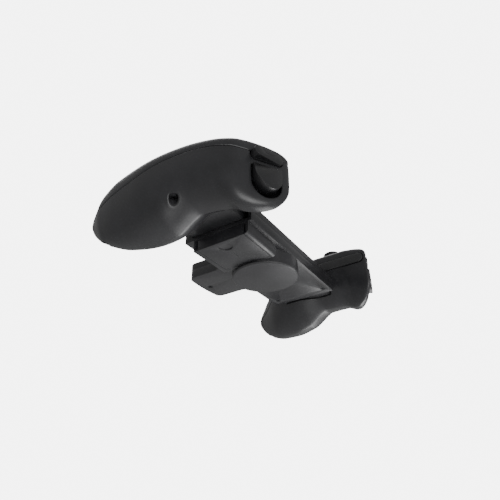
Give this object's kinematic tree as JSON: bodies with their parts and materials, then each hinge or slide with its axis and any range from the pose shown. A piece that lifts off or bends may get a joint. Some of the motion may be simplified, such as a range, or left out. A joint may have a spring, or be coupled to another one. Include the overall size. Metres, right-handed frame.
{
  "type": "radio transmitter controller",
  "caption": "Telescopic handheld radio transmitter shaped as a game pad, with sliding right grip, sprung sticks, buttons and triggers, and a bay between the grips for a phone.",
  "frame": {"origin": "middle of the footprint's bounding box, on the surface the transmitter rests on", "axes": "+X along the bridge to the grip that slides out, +Y towards the shoulder buttons, +Z towards the control side"},
  "size_m": [0.2128, 0.1156, 0.058],
  "materials": {
    "black_shell": "fine moulded grain, satin",
    "trigger_plastic": "satin moulded",
    "button_plastic": "smooth semi-gloss",
    "stick_plastic": "moulded",
    "black_rubber": "soft-touch rubber",
    "silicone_mat": "grey silicone",
    "circuit_board": "solder mask",
    "bright_steel": "drawn steel",
    "gimbal_steel": "pressed steel",
    "black_screws": "blackened steel",
    "contact_brass": "plated brass",
    "light_pipe": "translucent light pipe",
    "battery_wrap": "shrink wrap",
    "ribbon": "polyimide film"
  },
  "bodies": {
    "bridge_and_left_grip": {"bridge_lower_shell": "black_shell", "bridge_upper_shell": "black_shell", "bridge_pad": "black_rubber", "battery_pack": "battery_wrap", "battery_contacts": "contact_brass", "bridge_screws": "black_screws", "guide_rods": "bright_steel", "return_springs": "bright_steel", "main_board": "circuit_board", "radio_module": "circuit_board", "console_mat": "silicone_mat", "status_lights": "light_pipe", "left_grip_top": "black_shell", "left_grip_bottom": "black_shell", "left_clamp_pad": "black_rubber", "left_board": "circuit_board", "left_stick_base": "stick_plastic", "left_button_mat": "silicone_mat", "left_grip_screws": "black_screws", "left_trigger_pin": "bright_steel", "left_trigger_spring": "bright_steel"},
    "right_grip": {"slider_tray": "black_shell", "ribbon_cable": "ribbon", "right_grip_top": "black_shell", "right_grip_bottom": "black_shell", "right_clamp_pad": "black_rubber", "right_board": "circuit_board", "right_stick_base": "stick_plastic", "right_button_mat": "silicone_mat", "right_grip_screws": "black_screws", "right_trigger_pin": "bright_steel", "right_trigger_spring": "bright_steel"},
    "battery_cover": {"battery_cover": "black_shell"},
    "home_button": {"home_button": "button_plastic"},
    "select_button": {"select_button": "button_plastic"},
    "start_button": {"start_button": "button_plastic"},
    "turbo_button": {"turbo_button": "button_plastic"},
    "left_stick_yoke": {"left_stick_yoke": "gimbal_steel"},
    "left_stick": {"left_stick": "stick_plastic", "left_stick_cap": "black_rubber"},
    "d_pad_pivot": {"d_pad_pivot": "button_plastic"},
    "d_pad": {"d_pad": "button_plastic"},
    "left_bumper": {"left_bumper": "trigger_plastic"},
    "left_trigger": {"left_trigger": "trigger_plastic"},
    "right_stick_yoke": {"right_stick_yoke": "gimbal_steel"},
    "right_stick": {"right_stick": "stick_plastic", "right_stick_cap": "black_rubber"},
    "button_north": {"button_north": "button_plastic"},
    "button_east": {"button_east": "button_plastic"},
    "button_south": {"button_south": "button_plastic"},
    "button_west": {"button_west": "button_plastic"},
    "right_bumper": {"right_bumper": "trigger_plastic"},
    "right_trigger": {"right_trigger": "trigger_plastic"}
  },
  "joints": [
    {"name": "extend", "type": "slide", "parent": "bridge_and_left_grip", "child": "right_grip", "axis": [1, 0, 0], "range_m": [0, 0.045], "stiffness_N_per_m": 60, "springref_m": -0.05, "deforming": ["return_springs"]},
    {"name": "cover_slide", "type": "slide", "parent": "bridge_and_left_grip", "child": "battery_cover", "axis": [1, 0, 0], "range_m": [0, 0.01]},
    {"name": "home_button_press", "type": "slide", "parent": "bridge_and_left_grip", "child": "home_button", "axis": [0, 0, -1], "range_m": [0, 0.0009], "stiffness_N_per_m": 300, "springref_m": -0.0008},
    {"name": "select_button_press", "type": "slide", "parent": "bridge_and_left_grip", "child": "select_button", "axis": [0, 0, -1], "range_m": [0, 0.0009], "stiffness_N_per_m": 300, "springref_m": -0.0008},
    {"name": "start_button_press", "type": "slide", "parent": "bridge_and_left_grip", "child": "start_button", "axis": [0, 0, -1], "range_m": [0, 0.0009], "stiffness_N_per_m": 300, "springref_m": -0.0008},
    {"name": "turbo_button_press", "type": "slide", "parent": "bridge_and_left_grip", "child": "turbo_button", "axis": [0, 0, -1], "range_m": [0, 0.0009], "stiffness_N_per_m": 300, "springref_m": -0.0008},
    {"name": "left_stick_x", "type": "hinge", "parent": "bridge_and_left_grip", "child": "left_stick_yoke", "pos_m": [-0.07665, 0.0254, 0.04288], "axis": [0, 1, 0], "range_deg": [-17, 17], "stiffness_Nm_per_rad": 0.02},
    {"name": "left_stick_y", "type": "hinge", "parent": "left_stick_yoke", "child": "left_stick", "pos_m": [-0.07665, 0.0254, 0.04288], "axis": [1, 0, 0], "range_deg": [-17, 17], "stiffness_Nm_per_rad": 0.02},
    {"name": "left_bumper_press", "type": "slide", "parent": "bridge_and_left_grip", "child": "left_bumper", "axis": [0.515, -0.8572, 0], "range_m": [0, 0.0012], "stiffness_N_per_m": 400, "springref_m": -0.0008},
    {"name": "left_trigger_pull", "type": "hinge", "parent": "bridge_and_left_grip", "child": "left_trigger", "pos_m": [-0.07144, 0.04866, 0.02958], "axis": [-0.8572, -0.515, 0], "range_deg": [0, 13], "stiffness_Nm_per_rad": 0.08, "springref_deg": -14.32},
    {"name": "right_stick_x", "type": "hinge", "parent": "right_grip", "child": "right_stick_yoke", "pos_m": [0.07665, 0.0254, 0.04288], "axis": [0, 1, 0], "range_deg": [-17, 17], "stiffness_Nm_per_rad": 0.02},
    {"name": "right_stick_y", "type": "hinge", "parent": "right_stick_yoke", "child": "right_stick", "pos_m": [0.07665, 0.0254, 0.04288], "axis": [1, 0, 0], "range_deg": [-17, 17], "stiffness_Nm_per_rad": 0.02},
    {"name": "right_bumper_press", "type": "slide", "parent": "right_grip", "child": "right_bumper", "axis": [-0.515, -0.8572, 0], "range_m": [0, 0.0012], "stiffness_N_per_m": 400, "springref_m": -0.0008},
    {"name": "right_trigger_pull", "type": "hinge", "parent": "right_grip", "child": "right_trigger", "pos_m": [0.07144, 0.04866, 0.02958], "axis": [-0.8572, 0.515, 0], "range_deg": [0, 13], "stiffness_Nm_per_rad": 0.08, "springref_deg": -14.32},
    {"name": "d_pad_rock_x", "type": "hinge", "parent": "bridge_and_left_grip", "child": "d_pad_pivot", "pos_m": [-0.07965, -0.0046, 0.04418], "axis": [0, 1, 0], "range_deg": [-4, 4], "stiffness_Nm_per_rad": 0.05},
    {"name": "d_pad_rock_y", "type": "hinge", "parent": "d_pad_pivot", "child": "d_pad", "pos_m": [-0.07965, -0.0046, 0.04418], "axis": [1, 0, 0], "range_deg": [-4, 4], "stiffness_Nm_per_rad": 0.05},
    {"name": "button_north_press", "type": "slide", "parent": "right_grip", "child": "button_north", "axis": [0, 0, -1], "range_m": [0, 0.0014], "stiffness_N_per_m": 300, "springref_m": -0.0008},
    {"name": "button_east_press", "type": "slide", "parent": "right_grip", "child": "button_east", "axis": [0, 0, -1], "range_m": [0, 0.0014], "stiffness_N_per_m": 300, "springref_m": -0.0008},
    {"name": "button_south_press", "type": "slide", "parent": "right_grip", "child": "button_south", "axis": [0, 0, -1], "range_m": [0, 0.0014], "stiffness_N_per_m": 300, "springref_m": -0.0008},
    {"name": "button_west_press", "type": "slide", "parent": "right_grip", "child": "button_west", "axis": [0, 0, -1], "range_m": [0, 0.0014], "stiffness_N_per_m": 300, "springref_m": -0.0008}
  ]
}
